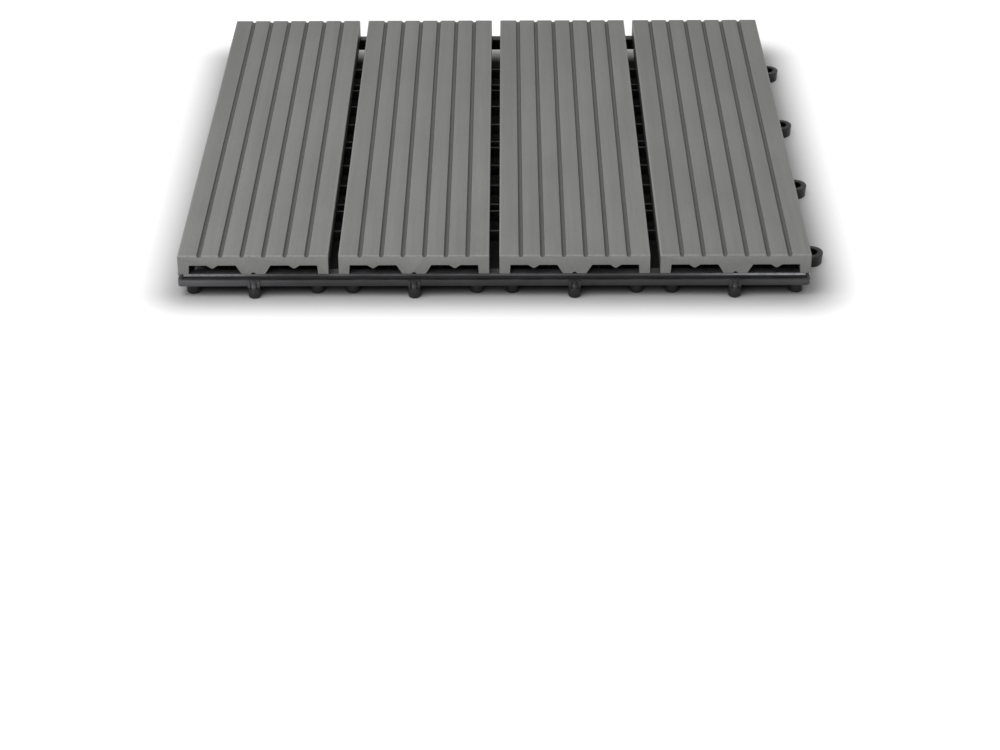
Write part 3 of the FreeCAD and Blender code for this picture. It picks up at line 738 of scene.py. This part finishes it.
def dressed_screws():
    """All the screws as one piece: a head and a threaded shank at each module's centre."""
    low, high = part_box(SCREWS)
    seat = low.z + SCREW_HEAD_HEIGHT
    one = bmesh.new()
    add_threaded_shank(one, high.z - seat)
    one.from_mesh(recessed_head())
    # The tile is square, so the screws' places along Y are the planks' places along X.
    centres = [sum(corner.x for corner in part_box(plank)) / 2 for plank in PLANKS]
    single = bpy.data.meshes.new("screw")
    one.to_mesh(single)
    one.free()
    everything = bmesh.new()
    for row, x in enumerate(centres):
        for column, y in enumerate(centres):
            degrees = ROW_TURN_DEGREES * row + COLUMN_TURN_DEGREES * column
            turn = Matrix.Rotation(radians(degrees), 4, "Z")
            copy = single.copy()
            copy.transform(Matrix.Translation((x, y, seat)) @ turn)
            everything.from_mesh(copy)
    for face in everything.faces:
        face.smooth = True
    mesh = bpy.data.meshes.new("dressed_screws")
    everything.to_mesh(mesh)
    everything.free()
    mesh.set_sharp_from_angle(angle=SCREW_CREASE_ANGLE)
    return bpy.data.objects.new("dressed_screws", mesh)


# Studio


def floor_paint():
    """Pale paint that looks white to the camera, with a painted shadow under and round the tile where the
    paint darkens and the glow fades.
    """
    material, tree, shader = new_material("floor", Roughness=1.0, Specular_IOR_Level=0.0)
    shader.inputs["Emission Color"].default_value = (*WHITE, 1.0)
    rays = add_node(tree, "ShaderNodeLightPath").outputs
    seen = calculate(tree, "MAXIMUM", rays["Is Camera Ray"], rays["Is Glossy Ray"])
    seen = calculate(tree, "MAXIMUM", seen, rays["Is Transmission Ray"])
    # How far a point lies beyond each pair of sides of a square a little smaller than the tile
    point = add_node(tree, "ShaderNodeTexCoord").outputs["Object"]
    middle, sides = planks_outline()
    from_middle = parts(tree, vector(tree, "SUBTRACT", point, tuple(middle)))
    beyond = []
    for place, side in zip(from_middle, (sides.x, sides.y)):
        beyond.append(calculate(tree, "SUBTRACT", calculate(tree, "ABSOLUTE", place), side - SHADE_INSET))
    # Its distance from the square, and how far it lies past the nearest side, which is below zero inside
    squares = [calculate(tree, "POWER", calculate(tree, "MAXIMUM", length), 2.0) for length in beyond]
    distance = calculate(tree, "SQRT", total(tree, *squares))
    outward = calculate(tree, "MAXIMUM", *beyond)
    covered = ramp(tree, outward, SHADE_INSET - COVER_WIDTH, SHADE_INSET, COVERED_SHADE, 1.0)
    albedo = product(tree, covered, ramp(tree, distance, 0.0, SHADE_WIDTH, FLOOR_SHADE, FLOOR_ALBEDO))
    glow = ramp(tree, distance, SHADE_INSET, SHADOW_REACH, 0.0, FLOOR_GLOW)
    set_inputs(
        tree,
        shader,
        Base_Color=tint(tree, WHITE, albedo),
        Emission_Strength=product(tree, seen, glow),
    )
    return material


def add_floor():
    """A wide floor at the feet."""
    signs = ((-1, -1), (1, -1), (1, 1), (-1, 1))
    corners = [(FLOOR_HALF_SIDE * x, FLOOR_HALF_SIDE * y, CAD_BOX[0].z) for x, y in signs]
    mesh = bpy.data.meshes.new("floor")
    mesh.from_pydata(corners, [], [(0, 1, 2, 3)])
    floor = bpy.data.objects.new("floor", mesh)
    mesh.materials.append(floor_paint())
    bpy.context.scene.collection.objects.link(floor)


def add_world():
    """Even light from all round; the camera sees it as plain white."""
    world = bpy.data.worlds.new("studio")
    bpy.context.scene.world = world
    world.use_nodes = True
    tree = world.node_tree
    background = tree.nodes["Background"]
    background.inputs["Color"].default_value = (*WHITE, 1.0)
    rays = add_node(tree, "ShaderNodeLightPath")
    strength = mix_tone(tree, rays.outputs["Is Camera Ray"], AMBIENT, 1.0)
    tree.links.new(strength, background.inputs["Strength"])


def add_lamp(name, direction, distance, size, power):
    """A square lamp that shines at the tile's middle from a direction."""
    data = bpy.data.lights.new(name, "AREA")
    data.size = size
    data.energy = power
    lamp = bpy.data.objects.new(name, data)
    away = Vector(direction).normalized()
    lamp.location = (CAD_BOX[0] + CAD_BOX[1]) / 2 + away * distance
    lamp.rotation_mode = "QUATERNION"
    lamp.rotation_quaternion = (-away).to_track_quat("-Z", "Y")
    bpy.context.scene.collection.objects.link(lamp)


def add_camera():
    """The photograph's camera."""
    low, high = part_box(PLANKS[0])
    tread = (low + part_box(PLANKS[-1])[1]) / 2
    aim = Vector((tread.x + AIM_RIGHT_OF_PLANKS, tread.y, high.z - STACK_MIDDLE_BELOW_TREAD))
    level = cos(CAMERA_ELEVATION)
    forward = Vector((sin(CAMERA_YAW) * level, cos(CAMERA_YAW) * level, -sin(CAMERA_ELEVATION)))
    flat_right = Vector((cos(CAMERA_YAW), -sin(CAMERA_YAW), 0.0))
    flat_up = flat_right.cross(forward)
    right = flat_right * cos(CAMERA_ROLL) + flat_up * sin(CAMERA_ROLL)
    up = flat_up * cos(CAMERA_ROLL) - flat_right * sin(CAMERA_ROLL)
    data = bpy.data.cameras.new("camera")
    data.sensor_width = SENSOR_WIDTH_MM
    data.lens = FOCAL_LENGTH_PIXELS / PHOTO_WIDTH_PIXELS * SENSOR_WIDTH_MM
    camera = bpy.data.objects.new("camera", data)
    camera.location = aim - forward * CAMERA_DISTANCE
    camera.rotation_mode = "QUATERNION"
    camera.rotation_quaternion = Matrix((right, up, -forward)).transposed().to_quaternion()
    bpy.context.scene.collection.objects.link(camera)
    bpy.context.scene.camera = camera


def main():
    """Dresses every node, and sets up the studio round the tile."""
    composite = plank_composite()
    for plank in PLANKS:
        piece = dressed_copy(plank, f"dressed_{plank}", PLANK_EDGE, centred=True)
        finish_piece(piece, composite, plank)
    grid = dressed_copy(GRID, "dressed_grid", GRID_EDGE, centred=False, pierced=True)
    finish_piece(grid, grid_plastic(), GRID)
    finish_piece(dressed_screws(), screw_steel(), SCREWS)
    add_floor()
    add_world()
    for lamp in LAMPS:
        add_lamp(*lamp)
    add_camera()
    bpy.context.scene.view_settings.view_transform = "Standard"


main()
